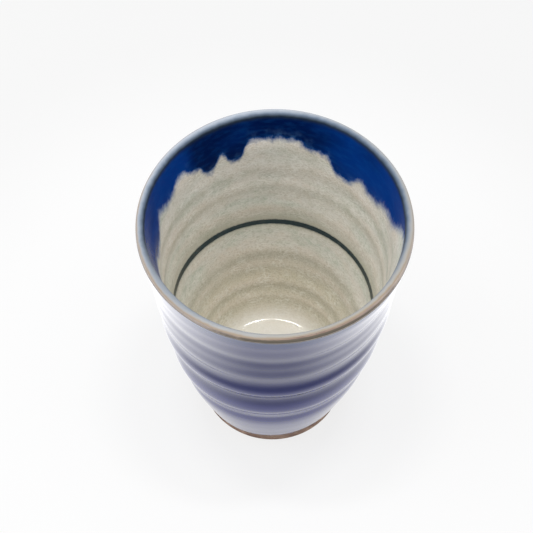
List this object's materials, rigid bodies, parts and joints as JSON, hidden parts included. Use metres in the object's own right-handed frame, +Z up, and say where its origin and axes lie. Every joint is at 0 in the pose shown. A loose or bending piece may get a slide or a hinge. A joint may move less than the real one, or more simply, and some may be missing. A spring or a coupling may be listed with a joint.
{
  "type": "shochu cup",
  "caption": "Tall footed stoneware cup with throwing rings, a blue coat outside, a pale crackled lining, a brushed line and a blue glaze band running down from the lip.",
  "frame": {"origin": "centre of the foot ring on the surface that the cup stands on", "axes": "+Z up along the cup's axis, -Y towards the viewer of the picture, +X to the viewer's right"},
  "size_m": [0.0882, 0.0882, 0.114],
  "materials": {
    "clay": "bare fired stoneware, matt brown",
    "blue_coat": "glossy deep blue glaze over throwing rings",
    "pale_lining": "glossy ash-white glaze with fine crackle",
    "blue_band": "glossy cobalt glaze, feathered where it runs",
    "dark_line": "brushed dark teal pigment under the gloss"
  },
  "bodies": {
    "root": {"clay_body": "clay", "outer_glaze": "blue_coat", "lining_glaze": "pale_lining", "rim_glaze": "blue_band", "painted_line": "dark_line"}
  },
  "joints": []
}
